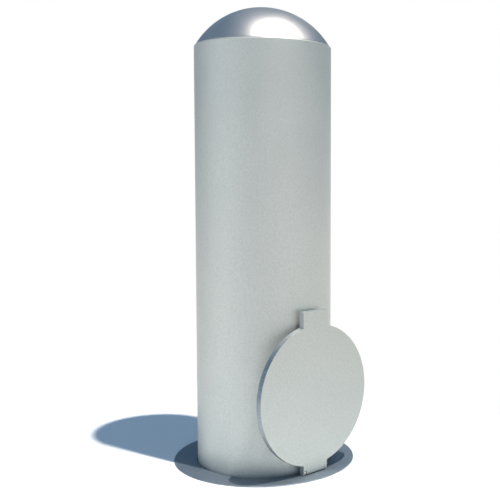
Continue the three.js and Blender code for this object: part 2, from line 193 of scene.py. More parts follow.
# ------------------------------------------------------------------ materials
def satin_steel(name="satin_steel", base=(0.60, 0.615, 0.58), rough=0.54, metal=0.88, streaks=False, foot=False, cut_edge_with_painted_reflection=False):
    """Bead-blasted stainless: a fine mottled grain, faint clouding, scuffs where it is handled, optional painted shade
    with grime roughness just above the flange, and an optional painted sky reflection on the sawn rim.
    """
    t = Tree(name)
    fine = t.noise(900, 2.0, 0.6)
    speck = t.noise(330, 2.5, 0.62)
    cloud = t.noise(7.0, 3.0, 0.55)
    tone = t.range(speck, 0.28, 0.72, 0.945, 1.045)
    tone = t.math("MULTIPLY", tone, t.range(fine, 0.3, 0.7, 0.975, 1.025))
    tone = t.math("MULTIPLY", tone, t.range(cloud, 0.3, 0.7, 0.975, 1.02))
    if streaks:
        run = t.noise(260, 2.0, 0.7, vector=t.mapped(scale=(1.0, 1.0, 0.012)))
        tone = t.math("MULTIPLY", tone, t.range(run, 0.60, 0.74, 1.0, 0.975))
    grey = t.node("ShaderNodeCombineColor")
    for k in ("Red", "Green", "Blue"):
        t.link(tone, grey.inputs[k])
    color = t.mix(1.0, rgb(*base), grey.outputs["Color"], "MULTIPLY")
    r = t.range(speck, 0.3, 0.7, rough + 0.05, rough - 0.05)
    r = t.math("ADD", r, t.range(cloud, 0.3, 0.7, -0.02, 0.03))
    if foot:
        # painted shade: the colour darkens over the 40 mm just above the flange, where the post meets it; the added
        # roughness there is grime
        _, _, z = t.xyz()
        base_shade_and_grime = t.range(z, 0.0, 0.040, 1.0, 0.0)
        base_shade_and_grime = t.math("MULTIPLY", t.math("POWER", base_shade_and_grime, 1.6), t.range(t.noise(34, 4.0, 0.6), 0.35, 0.7, 0.15, 1.0))
        color = t.mix(t.math("MULTIPLY", base_shade_and_grime, 0.04), color, rgb(0.30, 0.29, 0.27))
        r = t.math("ADD", r, t.math("MULTIPLY", base_shade_and_grime, 0.12))
    if cut_edge_with_painted_reflection:
        # the sawn rim between the two faces is darker and smoother than they are; between two heights it is also
        # painted a darker blue, a painted reflection of the sky
        side = t.range(t.facing("X"), 0.25, 0.55, 1.0, 0.0)
        marks = t.noise(420, 3.0, 0.6, vector=t.mapped(scale=(0.15, 1, 1)))
        _, _, z = t.xyz()
        # painted reflection: a darker blue band on the rim from 0.085 to 0.215 m up, standing in for the sky it mirrors
        painted_sky_reflection_band = t.math("MULTIPLY", t.range(z, 0.085, 0.145, 0.0, 1.0), t.range(z, 0.190, 0.215, 1.0, 0.0))
        sawn_rim_tone = t.ramp(marks, [(0.3, rgb(0.38, 0.41, 0.42)), (0.7, rgb(0.48, 0.51, 0.51))])
        painted_reflection_tone = t.ramp(marks, [(0.3, rgb(0.19, 0.23, 0.27)), (0.7, rgb(0.28, 0.33, 0.37))])
        color = t.mix(side, color, t.mix(painted_sky_reflection_band, sawn_rim_tone, painted_reflection_tone))
        r = t.math("ADD", r, t.math("MULTIPLY", side, -0.10))
    n = t.bump(fine, 0.10, 0.0005)
    n = t.bump(speck, 0.07, 0.0010, n)
    t.set(Base_Color=color, Metallic=metal, Roughness=r, Normal=n)
    return t.mat


def polished_steel(name="polished_steel"):
    """Polished stainless: a soft mirror with hairline polishing marks and a few faint smears."""
    t = Tree(name)
    x, y, z = t.xyz()
    ang = t.math("ARCTAN2", y, x)
    rr = t.radius()
    comb = t.node("ShaderNodeCombineXYZ")
    t.link(t.math("MULTIPLY", ang, 0.6), comb.inputs["X"])
    t.link(t.math("MULTIPLY", rr, 160.0), comb.inputs["Y"])
    rings = t.noise(9.0, 4.0, 0.7, vector=comb.outputs["Vector"])
    smear = t.noise(16, 4.0, 0.6, distortion=0.6)
    fine = t.noise(900, 2.0, 0.6)
    rough = t.range(smear, 0.35, 0.7, 0.345, 0.385)
    rough = t.math("ADD", rough, t.range(rings, 0.3, 0.7, -0.02, 0.02))
    color = t.mix(1.0, rgb(0.645, 0.60, 0.562), t.ramp(t.range(smear, 0.3, 0.7, 0.96, 1.0), [(0, 0.0), (1, 1.0)]), "MULTIPLY")
    n = t.bump(rings, 0.025, 0.0004)
    n = t.bump(fine, 0.02, 0.0003, n)
    t.set(Base_Color=color, Metallic=1.0, Roughness=rough, Normal=n)
    return t.mat


def flange_steel(name="flange_steel"):
    """Darker ground-level ring: grey metal, scuffed by feet and tyres, with grit in the texture."""
    t = Tree(name)
    grain = t.noise(900, 2.0, 0.65)
    speck = t.noise(320, 3.0, 0.65)
    cloud = t.noise(18.0, 4.0, 0.6)
    tone = t.range(t.math("ADD", t.math("MULTIPLY", speck, 0.65), t.math("MULTIPLY", cloud, 0.35)), 0.3, 0.7, 0.84, 1.12)
    grey = t.node("ShaderNodeCombineColor")
    for k in ("Red", "Green", "Blue"):
        t.link(tone, grey.inputs[k])
    color = t.mix(1.0, rgb(0.192, 0.230, 0.268), grey.outputs["Color"], "MULTIPLY")
    scratch = t.range(t.noise(90, 3.0, 0.8, vector=t.mapped(scale=(1, 0.06, 1), rotation=(0, 0, 0.6))), 0.64, 0.70, 0.0, 1.0)
    color = t.mix(t.math("MULTIPLY", scratch, 0.12), color, rgb(0.34, 0.36, 0.37))
    rr = t.radius()
    lip = t.math("MAXIMUM", t.range(rr, 0.1464, 0.1475, 0.0, 1.0), t.range(rr, 0.1108, 0.1118, 1.0, 0.0))
    lip = t.math("MULTIPLY", lip, t.range(t.noise(60, 3.0, 0.6), 0.4, 0.65, 0.1, 0.5))
    color = t.mix(lip, color, rgb(0.38, 0.40, 0.41))
    r = t.range(cloud, 0.3, 0.7, 0.50, 0.60)
    n = t.bump(grain, 0.12, 0.0006)
    n = t.bump(speck, 0.12, 0.0012, n)
    t.set(Base_Color=color, Metallic=0.58, Roughness=r, Normal=n)
    return t.mat


def galvanised(name="galvanised"):
    """Hot-dip zinc: spangle crystals, dull and slightly uneven."""
    t = Tree(name)
    cell = t.voronoi(85, out="Color")
    bw = t.node("ShaderNodeRGBToBW")
    t.link(cell, bw.inputs["Color"])
    spangle = bw.outputs["Val"]
    cloud = t.noise(9, 4.0, 0.6)
    runs = t.noise(30, 3.0, 0.6, vector=t.mapped(scale=(1, 1, 0.12)))
    tone = t.math("MULTIPLY", t.range(spangle, 0.1, 0.9, 0.86, 1.06), t.range(cloud, 0.3, 0.7, 0.92, 1.04))
    color = t.mix(1.0, rgb(0.52, 0.55, 0.57), t.ramp(tone, [(0.0, 0.0), (1.0, 1.0)]), "MULTIPLY")
    color = t.mix(t.range(runs, 0.55, 0.75, 0.0, 0.22), color, rgb(0.70, 0.71, 0.71))
    r = t.range(spangle, 0.0, 1.0, 0.42, 0.62)
    n = t.bump(t.noise(260, 3.0, 0.6), 0.12, 0.001)
    n = t.bump(runs, 0.25, 0.002, n)
    t.set(Base_Color=color, Metallic=0.85, Roughness=r, Normal=n)
    return t.mat


def plain_steel(name="plain_steel", base=(0.50, 0.51, 0.52)):
    """Zinc-plated machined steel with tool marks."""
    t = Tree(name)
    turn = t.noise(60, 2.0, 0.5, vector=t.mapped(scale=(1, 1, 22)))
    speck = t.noise(500, 3.0, 0.7)
    tone = t.range(t.math("ADD", t.math("MULTIPLY", turn, 0.5), t.math("MULTIPLY", speck, 0.5)), 0.3, 0.7, 0.88, 1.06)
    color = t.mix(1.0, rgb(*base), t.ramp(tone, [(0.0, 0.0), (1.0, 1.0)]), "MULTIPLY")
    dull = t.range(t.noise(25, 4.0, 0.6), 0.45, 0.7, 0.0, 0.35)
    color = t.mix(dull, color, rgb(0.40, 0.40, 0.39))
    t.set(Base_Color=color, Metallic=1.0, Roughness=t.range(turn, 0.3, 0.7, 0.28, 0.42),
          Normal=t.bump(turn, 0.08, 0.0005))
    return t.mat


def chrome_rod(name="chrome_rod"):
    t = Tree(name)
    drag = t.noise(700, 2.0, 0.6, vector=t.mapped(scale=(1, 1, 0.01)))
    t.set(Base_Color=t.ramp(drag, [(0.3, rgb(0.80, 0.81, 0.82)), (0.7, rgb(0.88, 0.89, 0.90))]), Metallic=1.0,
          Roughness=t.range(drag, 0.3, 0.7, 0.06, 0.14), Normal=t.bump(drag, 0.02, 0.0002))
    return t.mat


def black_paint(name="black_paint"):
    t = Tree(name)
    peel = t.noise(240, 2.0, 0.5)
    dust = t.noise(40, 4.0, 0.6)
    color = t.ramp(dust, [(0.35, rgb(0.012, 0.012, 0.014)), (0.75, rgb(0.035, 0.035, 0.037))])
    chip = t.range(t.noise(130, 2.0, 0.5), 0.73, 0.75, 0.0, 0.6)
    color = t.mix(chip, color, rgb(0.22, 0.21, 0.20))
    t.set(Base_Color=color, Metallic=0.0, Roughness=t.range(dust, 0.3, 0.7, 0.26, 0.40), Normal=t.bump(peel, 0.12, 0.0006))
    t.bsdf.inputs["Coat Weight"].default_value = 0.3
    t.bsdf.inputs["Coat Roughness"].default_value = 0.15
    return t.mat


def polymer(name, lo, hi, rough, scale=300):
    t = Tree(name)
    a = t.noise(scale, 3.0, 0.6)
    b = t.noise(20, 3.0, 0.6)
    t.set(Base_Color=t.ramp(t.math("ADD", t.math("MULTIPLY", a, 0.4), t.math("MULTIPLY", b, 0.6)), [(0.35, rgb(*lo)), (0.65, rgb(*hi))]),
          Metallic=0.0, Roughness=t.range(b, 0.3, 0.7, rough - 0.07, rough + 0.07), Normal=t.bump(a, 0.12, 0.0006))
    return t.mat


def bronze(name="bronze"):
    t = Tree(name)
    a = t.noise(400, 3.0, 0.6)
    t.set(Base_Color=t.ramp(a, [(0.3, rgb(0.46, 0.30, 0.13)), (0.7, rgb(0.62, 0.44, 0.22))]), Metallic=1.0,
          Roughness=t.range(a, 0.3, 0.7, 0.30, 0.44), Normal=t.bump(a, 0.06, 0.0004))
    return t.mat


def weld(name="weld"):
    t = Tree(name)
    a = t.noise(120, 3.0, 0.6)
    t.set(Base_Color=t.ramp(a, [(0.3, rgb(0.34, 0.36, 0.38)), (0.7, rgb(0.52, 0.54, 0.55))]), Metallic=0.9,
          Roughness=t.range(a, 0.3, 0.7, 0.40, 0.60), Normal=t.bump(a, 0.2, 0.001))
    return t.mat


M = {
    "post": satin_steel("satin_post", streaks=True, foot=True),
    "lid": satin_steel("satin_cover", base=(0.59, 0.605, 0.565), rough=0.58, cut_edge_with_painted_reflection=True),
    "dome": polished_steel(),
    "flange": flange_steel(),
    "galv": galvanised(),
    "steel": plain_steel(),
    "rod": chrome_rod(),
    "paint": black_paint(),
    "nylon": polymer("nylon", (0.60, 0.58, 0.49), (0.72, 0.70, 0.62), 0.5),
    "plastic": polymer("grey_plastic", (0.08, 0.085, 0.09), (0.12, 0.125, 0.13), 0.55),
    "rubber": polymer("rubber", (0.018, 0.018, 0.019), (0.035, 0.035, 0.036), 0.78, 500),
    "bronze": bronze(),
    "weld": weld(),
}


# ------------------------------------------------------------------ mesh helpers (all in mm, made in metres)
def rounded(profile, closed=True, seg=4):
    """Profile of (r, z, corner radius) turned into points with rounded corners."""
    pts = [Vector((p[0], p[1])) for p in profile]
    rad = [p[2] if len(p) > 2 else 0.0 for p in profile]
    n = len(pts)
    out = []
    for i in range(n):
        if rad[i] <= 0 or (not closed and i in (0, n - 1)):
            out.append(pts[i])
            continue
        a, p, b = pts[i - 1], pts[i], pts[(i + 1) % n]
        u, v = (a - p), (b - p)
        lu, lv = u.length, v.length
        u.normalize(); v.normalize()
        half = math.acos(max(-1, min(1, u.dot(v)))) / 2
        if half > math.pi / 2 - 0.02:
            out.append(p)
            continue
        tl = min(rad[i] / math.tan(half), lu * 0.48, lv * 0.48)
        r = tl * math.tan(half)
        c = p + (u + v).normalized() * (r / math.sin(half))
        s, e = p + u * tl - c, p + v * tl - c
        a0, a1 = math.atan2(s.y, s.x), math.atan2(e.y, e.x)
        d = (a1 - a0 + math.pi) % (2 * math.pi) - math.pi
        for k in range(seg + 1):
            t = a0 + d * k / seg
            out.append(c + Vector((math.cos(t), math.sin(t))) * r)
    return [(q.x, q.y) for q in out]


def mesh_from(name, verts, faces, angle=32):
    me = bpy.data.meshes.new(name)
    me.from_pydata([(x * MM, y * MM, z * MM) for x, y, z in verts], [], faces)
    me.validate()
    bm = bmesh.new()
    bm.from_mesh(me)
    bmesh.ops.remove_doubles(bm, verts=bm.verts, dist=1e-7)
    bmesh.ops.recalc_face_normals(bm, faces=bm.faces)
    if bm.calc_volume(signed=True) < 0:
        bmesh.ops.reverse_faces(bm, faces=bm.faces)
    bm.to_mesh(me)
    bm.free()
    me.polygons.foreach_set("use_smooth", [True] * len(me.polygons))
    me.set_sharp_from_angle(angle=math.radians(angle))
    o = bpy.data.objects.new(name, me)
    scene.collection.objects.link(o)
    return o


def lathe(name, profile, sides=160, seg=4, at=(0, 0), closed=True, round_it=True):
    pts = rounded(profile, closed, seg) if round_it else [(p[0], p[1]) for p in profile]
    verts, faces, cols = [], [], []
    for r, z in pts:
        if r < 1e-6:
            cols.append([len(verts)])
            verts.append((at[0], at[1], z))
            continue
        ids = []
        for k in range(sides):
            a = 2 * math.pi * k / sides
            ids.append(len(verts))
            verts.append((at[0] + r * math.cos(a), at[1] + r * math.sin(a), z))
        cols.append(ids)
    m = len(cols)
    for i in range(m if closed else m - 1):
        p, q = cols[i], cols[(i + 1) % m]
        if len(p) == 1 and len(q) == 1:
            continue
        for k in range(sides):
            k2 = (k + 1) % sides
            if len(p) == 1:
                faces.append((p[0], q[k], q[k2]))
            elif len(q) == 1:
                faces.append((p[k], p[k2], q[0]))
            else:
                faces.append((p[k], p[k2], q[k2], q[k]))
    return mesh_from(name, verts, faces)


def prism(name, outline, axis, lo, hi, bevel=0.5, seg=3, angle=30):
    """Outline in the plane across an axis, pushed from lo to hi along it. X: (y, z), Y: (x, z), Z: (x, y)."""
    def place(u, v, w):
        return {"X": (w, u, v), "Y": (u, w, v), "Z": (u, v, w)}[axis]
    n = len(outline)
    verts = [place(u, v, lo) for u, v in outline] + [place(u, v, hi) for u, v in outline]
    faces = [tuple(range(n)), tuple(range(2 * n - 1, n - 1, -1))]
    faces += [(i, (i + 1) % n, n + (i + 1) % n, n + i) for i in range(n)]
    o = mesh_from(name, verts, faces)
    if bevel:
        soften(o, bevel, seg, angle)
    return o


def soften(o, width, seg=3, angle=30):
    m = o.modifiers.new("edge", "BEVEL")
    m.width, m.segments, m.limit_method = width * MM, seg, "ANGLE"
    m.angle_limit = math.radians(angle)
    m.harden_normals = False
    m.miter_outer = "MITER_ARC"
    return o


def weighted(o):
    w = o.modifiers.new("weighted", "WEIGHTED_NORMAL")
    w.keep_sharp = True
    w.weight = 60
    return o


def box(name, x0, x1, y0, y1, z0, z1, bevel=0.5):
    return prism(name, [(x0, y0), (x1, y0), (x1, y1), (x0, y1)], "Z", z0, z1, bevel)


def cut(o, *tools):
    """Boolean difference, applied, and the cutters removed."""
    for t in tools:
        m = o.modifiers.new("cut", "BOOLEAN")
        m.operation, m.solver, m.object = "DIFFERENCE", "EXACT", t
    apply(o)
    for t in tools:
        bpy.data.objects.remove(t)
    o.data.polygons.foreach_set("use_smooth", [True] * len(o.data.polygons))
    o.data.set_sharp_from_angle(angle=math.radians(32))
    return o


def join(o, *others):
    for t in others:
        m = o.modifiers.new("join", "BOOLEAN")
        m.operation, m.solver, m.object = "UNION", "EXACT", t
    apply(o)
    for t in others:
        bpy.data.objects.remove(t)
    return o


def apply(o):
    bpy.context.view_layer.update()
    dg = bpy.context.evaluated_depsgraph_get()
    me = bpy.data.meshes.new_from_object(o.evaluated_get(dg))
    old = o.data
    o.modifiers.clear()
    o.data = me
    bpy.data.meshes.remove(old)


def done(o, body, mat, *nodes, smooth_weight=True):
    o.data.materials.clear()
    o.data.materials.append(M[mat])
    if smooth_weight:
        weighted(o)
    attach(o, body)
    if nodes:
        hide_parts(*nodes)
    return o


def circle(cx, cy, r, n=48, a0=0.0, a1=2 * math.pi, ends=False):
    k = n + 1 if ends else n
    return [(cx + r * math.cos(a0 + (a1 - a0) * i / n), cy + r * math.sin(a0 + (a1 - a0) * i / n)) for i in range(k)]


def cyl(name, r, z0, z1, x=0.0, y=0.0, sides=64, bevel=0.4):
    return lathe(name, [(0, z0), (r, z0, bevel), (r, z1, bevel), (0, z1)], sides, 3, (x, y), closed=False)


def bead(name, R, z, section, body, at_angle=45, pitch=4.0, n=None, lean=1):
    """Weld fillet running round a circle, with the ripples of the torch."""
    n = n or int(2 * math.pi * R / pitch) * 6
    mnr = 8
    verts, faces = [], []
    for k in range(n):
        a = 2 * math.pi * k / n
        ph = (k % 6) / 6
        s = section * (0.92 + 0.13 * math.sin(math.pi * ph)) * (1 + 0.05 * math.sin(a * 5 + 1) + 0.04 * math.sin(a * 17))
        for j in range(mnr):
            t = 2 * math.pi * j / mnr
            verts.append(((R + s * math.cos(t)) * math.cos(a), (R + s * math.cos(t)) * math.sin(a), z + lean * s * math.sin(t)))
    for k in range(n):
        k2 = (k + 1) % n
        for j in range(mnr):
            j2 = (j + 1) % mnr
            faces.append((k * mnr + j, k2 * mnr + j, k2 * mnr + j2, k * mnr + j2))
    o = mesh_from(name, verts, faces, 60)
    return done(o, body, "weld", smooth_weight=False)


# ------------------------------------------------------------------ ground frame
G, P, L, S = "ground_frame", "post", "cover", "spindle"
done(lathe("flange_fine", [
    (FLANGE_HOLE_R, FLANGE_TOP - FLANGE_T + SEAT, 0.4), (SLEEVE_R + 0.5, FLANGE_TOP - FLANGE_T + SEAT, 0.3),
    (SLEEVE_R + 0.5, FLANGE_TOP - FLANGE_T, 0.4), (FLANGE_R, FLANGE_TOP - FLANGE_T, 0.6),
    (FLANGE_R, FLANGE_TOP, 0.9), (FLANGE_HOLE_R, FLANGE_TOP, 0.9)], 256), G, "flange", "ground_flange")
done(lathe("sleeve_fine", [(SLEEVE_IN, BASE_TOP + GAP, 0.5), (SLEEVE_R, BASE_TOP + GAP, 0.5),
                           (SLEEVE_R, SLEEVE_TOP, 0.5), (SLEEVE_IN, SLEEVE_TOP, 0.5)], 192), G, "galv", "sleeve_tube")
done(lathe("base_plate_fine", [(STUB_R + GAP, BASE_TOP - BASE_T, 0.5), (BASE_R, BASE_TOP - BASE_T, 0.8),
                               (BASE_R, BASE_TOP, 0.8), (STUB_R + GAP, BASE_TOP, 0.5)], 192), G, "galv", "base_plate")
done(lathe("drain_fine", [(DRAIN_R, BASE_TOP - BASE_T - DRAIN_LEN, 0.6), (STUB_R, BASE_TOP - BASE_T - DRAIN_LEN, 0.6),
                          (STUB_R, BASE_TOP, 0.4), (DRAIN_R, BASE_TOP, 0.6)], 96), G, "galv", "drain_stub")
bead("weld_sleeve_foot", SLEEVE_R + 1.0, BASE_TOP + 1.6, 3.4, G)
bead("weld_flange", SLEEVE_R + 1.6, FLANGE_TOP - FLANGE_T - 1.0, 2.6, G)
bead("weld_drain", STUB_R + 0.6, BASE_TOP - BASE_T - 0.9, 2.4, G, pitch=3.0)

for i in range(4):
    o = box(f"anchor_{i + 1}_fine", SLEEVE_R + GAP, SLEEVE_R + GAP + 42, -4, 4, -420, -360, 0.7)
    apply(o)
    o.data.transform(Matrix.Rotation(math.radians(45 + 90 * i), 4, "Z"))
    done(o, G, "galv", f"anchor_lug_{i + 1}")

done(lathe("wiper_fine", [(POST_R + 3, SLEEVE_TOP - 3, 0.3), (125, SLEEVE_TOP - 3, 0.3), (125, SLEEVE_TOP, 0.3),
                          (POST_R + 0.35, SLEEVE_TOP, 0.15), (POST_R + 0.35, SLEEVE_TOP - 1.2, 0.2)], 192), G, "rubber", "wiper_seal")
done(lathe("guide_bush_fine", [(POST_R + 0.5, -40, 0.8), (SLEEVE_IN - GAP, -40, 0.5), (SLEEVE_IN - GAP, SLEEVE_TOP - 3 - GAP, 0.5),
                               (POST_R + 0.5, SLEEVE_TOP - 3 - GAP, 0.8)], 192), G, "nylon", "guide_bush")
done(lathe("bush_ledge_fine", [(POST_R + 3, -46, 0.4), (SLEEVE_IN - GAP, -46, 0.4), (SLEEVE_IN - GAP, -40.3, 0.4),
                               (POST_R + 3, -40.3, 0.4)], 160), G, "galv", "bush_ledge")
done(lathe("buffer_fine", [(100, BASE_TOP + GAP, 0.8), (128, BASE_TOP + GAP, 0.8), (128, BASE_TOP + 28, 1.5), (124, BASE_TOP + 32, 1.5),
                           (104, BASE_TOP + 32, 1.5), (100, BASE_TOP + 28, 1.5)], 128), G, "rubber", "buffer_ring")


def window(x0, x1, extra=0.7):
    return box("cutter", x0, x1, -BOLT_W / 2 - extra, BOLT_W / 2 + extra, LOCK_Z - BOLT_H / 2 - extra, LOCK_Z + BOLT_H / 2 + extra, 0)


keeper = lathe("keeper_fine", [(POST_R + 3, -125, 0.8), (SLEEVE_IN - GAP, -125, 0.6), (SLEEVE_IN - GAP, -95, 0.6), (POST_R + 3, -95, 0.8)], 128)
done(cut(keeper, window(100, 140), window(-140, -100)), G, "steel", "keeper_ring")

# hinge of the cover plate
for side, word in ((-1, "left"), (1, "right")):
    h = LID_T / 2
    arc = circle(HINGE_X, HINGE_Z, h, 72, -math.pi / 3, math.pi * 4 / 3, ends=True)
    outline = [(HINGE_X - FOOT, FLANGE_TOP + GAP), (HINGE_X + FOOT, FLANGE_TOP + GAP)] + arc
    y0, y1 = (LUG_IN, TAB_HALF) if side > 0 else (-TAB_HALF, -LUG_IN)
    lug = prism(f"hinge_lug_{word}_fine", outline, "Y", y0, y1, 0)
    hole = prism("cutter", circle(HINGE_X, HINGE_Z, 3.3, 40), "Y", *((LUG_IN - 1, PIN_HALF + 0.3) if side > 0 else (-PIN_HALF - 0.3, 1 - LUG_IN)), 0)
    cut(lug, hole)
    soften(lug, 0.35, 2, 40)
    done(lug, G, "lid", f"hinge_lug_{word}")
    y0 = KNUCKLE + 0.3 if side > 0 else -KNUCKLE - 1.1
    w = prism(f"washer_{word}_fine", circle(HINGE_X, HINGE_Z, 4.6, 48), "Y", y0, y0 + 0.8, 0)
    cut(w, prism("cutter", circle(HINGE_X, HINGE_Z, 3.3, 40), "Y", y0 - 1, y0 + 2, 0))
    done(w, G, "bronze", f"friction_washer_{word}")
done(prism("hinge_pin_fine", circle(HINGE_X, HINGE_Z, 3.0, 40), "Y", -PIN_HALF, PIN_HALF, 0.4), G, "steel", "hinge_pin")

# gas springs
for side, word in ((-1, "left"), (1, "right")):
    y = side * SPRING_Y
    done(lathe(f"gas_cylinder_{word}_fine", [
        (0, CYL_BOTTOM), (CYL_R, CYL_BOTTOM, 2.5), (CYL_R, CYL_TOP - 7, 0.3), (CYL_R - 0.9, CYL_TOP - 5.5, 0.6), (CYL_R - 0.9, CYL_TOP - 4, 0.6),
        (CYL_R, CYL_TOP - 2.5, 0.3), (CYL_R, CYL_TOP, 1.2), (CYL_BORE, CYL_TOP, 0.4), (CYL_BORE, CYL_BOTTOM + 8, 1.0), (0, CYL_BOTTOM + 8)],
        72, 3, (0, y), closed=False), G, "paint", f"gas_cylinder_{word}")
    done(lathe(f"gas_gland_{word}_fine", [(ROD_R + 0.3, CYL_TOP - 16, 0.3), (CYL_BORE - GAP, CYL_TOP - 16, 0.3), (CYL_BORE - GAP, CYL_TOP, 0.8),
                                          (ROD_R + 0.3, CYL_TOP, 0.5)], 64, 3, (0, y)), G, "plastic", f"gas_gland_{word}")
    eye = box(f"cylinder_eye_{word}_fine", -8, 8, y - 4, y + 4, CYL_BOTTOM - 26, CYL_BOTTOM - GAP, 0)
    cut(eye, prism("cutter", circle(0, CYL_BOTTOM - 17, 4.3, 40), "Y", y - 8, y + 8, 0))
    soften(eye, 0.6, 2)
    done(eye, G, "steel", f"cylinder_eye_{word}")
    br = box(f"foot_bracket_{word}_fine", -14, 14, y - 13, y + 13, BASE_TOP + GAP, CYL_BOTTOM - 8, 0)
    cut(br, box("cutter", -20, 20, y - 4.5, y + 4.5, BASE_TOP + 6, CYL_BOTTOM + 5, 0))
    cut(br, prism("cutter", circle(0, CYL_BOTTOM - 17, 4.3, 40), "Y", y - 20, y + 20, 0))
    soften(br, 0.6, 2)
    done(br, G, "steel", f"foot_bracket_{word}")
    done(prism(f"foot_pin_{word}_fine", circle(0, CYL_BOTTOM - 17, 4.0, 40), "Y", y - 14.5, y + 14.5, 0.5), G, "steel", f"foot_pin_{word}")

# ------------------------------------------------------------------ cover plate
a = math.asin(TAB_HALF / LID_R)
notch = HINGE_Z + LIP
right = [(LID_R * math.cos(t), LID_CZ + LID_R * math.sin(t)) for t in np.linspace(-math.pi / 2 + a, math.pi / 2 - a, 121)]
left = [(-y, z) for y, z in reversed(right)]
outline = [(KNUCKLE, notch), (TAB_HALF, notch)] + right + [(TAB_HALF, TAB_TOP), (-TAB_HALF, TAB_TOP)] + left + [(-TAB_HALF, notch), (-KNUCKLE, notch)]
plate = prism("cover_plate_fine", outline, "X", LID_OUT_X - LID_T, LID_OUT_X, 0)
h = LID_T / 2
kn = [(HINGE_X - h, notch + 0.5), (HINGE_X - h, HINGE_Z)] + circle(HINGE_X, HINGE_Z, h, 28, math.pi, 2 * math.pi, ends=True)[1:] + [(HINGE_X + h, notch + 0.5)]
knuckle = prism("cutter", kn, "Y", -KNUCKLE, KNUCKLE, 0)
join(plate, knuckle)
cut(plate, prism("cutter", circle(HINGE_X, HINGE_Z, 3.3, 40), "Y", -30, 30, 0))
soften(plate, 0.55, 3, 40)
# hollow over each fixed barrel
for y0, y1 in ((KNUCKLE, TAB_HALF + 1), (-TAB_HALF - 1, -KNUCKLE)):
    cut(plate, prism("cutter", circle(HINGE_X, HINGE_Z, h + 0.5, 72), "Y", y0, y1, 0))
done(plate, L, "lid", "cover_plate")

# ------------------------------------------------------------------ post
# level rings above and below the bolt windows keep the cuts out of the long outer wall
tube = lathe("post_tube_fine", [
    (POST_IN, POST_BOTTOM, 0.5), (POST_R, POST_BOTTOM, 0.8), (POST_R, -130), (POST_R, -90), (POST_R, POST_TOP, 1.6), (POST_IN, POST_TOP, 0.5),
    (POST_IN, -90), (POST_IN, -130)], 256)
cut(tube, window(90, 120), window(-120, -90))
done(tube, P, "post", "post_tube")

BASE = POST_TOP + GAP
RAD = (DOME_R ** 2 + DOME_RISE ** 2) / (2 * DOME_RISE)
CZ = BASE + DOME_RISE - RAD
HOUSE = 16.0


def dome_z(r, inset=0.0):
    return CZ + math.sqrt((RAD - inset) ** 2 - r * r)


a0, a1 = math.asin((HOUSE + GAP) / RAD), math.asin(DOME_R / RAD)
outer = [(RAD * math.sin(t), CZ + RAD * math.cos(t)) for t in np.linspace(a1, a0, 60)]
rb = RAD - DOME_WALL
b1, b0 = math.acos((BASE - CZ) / rb), math.asin((HOUSE + GAP) / rb)
inner = [(rb * math.sin(t), CZ + rb * math.cos(t)) for t in np.linspace(b0, b1, 36)]
prof = [(outer[0][0], outer[0][1], 0.5)] + outer[1:-1] + [(outer[-1][0], outer[-1][1], 0.4)] + inner
done(lathe("dome_fine", prof, 256, 3), P, "dome", "dome_cap")
done(lathe("cap_ring_fine", [(96, 652, 0.6), (POST_IN - GAP, 652, 0.8), (POST_IN - GAP, POST_TOP - 0.3, 0.4), (96, POST_TOP - 0.3, 0.6)], 128), P, "steel", "cap_ring")
done(lathe("lock_housing_fine", [
    (6.4, 690, 0.3), (14, 690, 0.8), (14, 708, 0.5), (22, 712, 0.5), (22, dome_z(22, DOME_WALL) - 0.6, 0.5),
    (HOUSE, dome_z(HOUSE, DOME_WALL) - 0.3, 0.3), (HOUSE, dome_z(HOUSE), 0.4), (9.4, dome_z(9.0), 0.4), (9.4, 700, 0.3), (6.4, 700, 0.3)],
    96, 3), P, "steel", "lock_housing")

bracket = cyl("top_bracket_fine", POST_IN - GAP, BRACKET_Z, BRACKET_Z + BRACKET_T, sides=160, bevel=0.6)
cut(bracket, *[cyl("cutter", r, BRACKET_Z - 5, BRACKET_Z + 20, x, y, 48, 0) for r, x, y in
               ((6.4, 0, 0), (5.3, 0, SPRING_Y), (5.3, 0, -SPRING_Y), (28, 55, 0), (28, -55, 0))])
done(bracket, P, "steel", "top_bracket")

for side, word in ((-1, "left"), (1, "right")):
    y = side * SPRING_Y
    # rod with a rolled thread at its upper end
    prof = [(0, -152), (ROD_R, -152, 0.5), (ROD_R, BRACKET_Z - 2, 0.1)]
    z = BRACKET_Z - 1.5
    while z < BRACKET_Z + 20.5:
        prof += [(ROD_R, z), (ROD_R - 0.55, z + 0.6)]
        z += 1.2
    prof += [(ROD_R - 0.55, BRACKET_Z + 21.2), (ROD_R - 1.3, BRACKET_Z + 22), (0, BRACKET_Z + 22)]
    done(lathe(f"gas_rod_{word}_fine", prof, 48, 2, (0, y), closed=False), P, "rod", f"gas_rod_{word}")
    done(lathe(f"gas_piston_{word}_fine", [(5.3, -149, 0.2), (11.2, -149, 0.4), (11.2, -146, 0.2), (10.2, -145.5, 0.2), (10.2, -142.5, 0.2),
                                           (11.2, -142, 0.2), (11.2, -139, 0.4), (5.3, -139, 0.2)], 64, 2, (0, y)), P, "steel", f"gas_piston_{word}")
    z0, z1 = BRACKET_Z + BRACKET_T + GAP, BRACKET_Z + BRACKET_T + 8
    nut = prism(f"rod_nut_{word}_fine", [(9.2 * math.sin(k * math.pi / 3), y + 9.2 * math.cos(k * math.pi / 3)) for k in range(6)], "Z", z0, z1, 0)
    cut(nut, cyl("cutter", 5.3, z0 - 5, z1 + 5, 0, y, 48, 0))
    soften(nut, 0.5, 2, 50)
    done(nut, P, "steel", f"rod_nut_{word}")

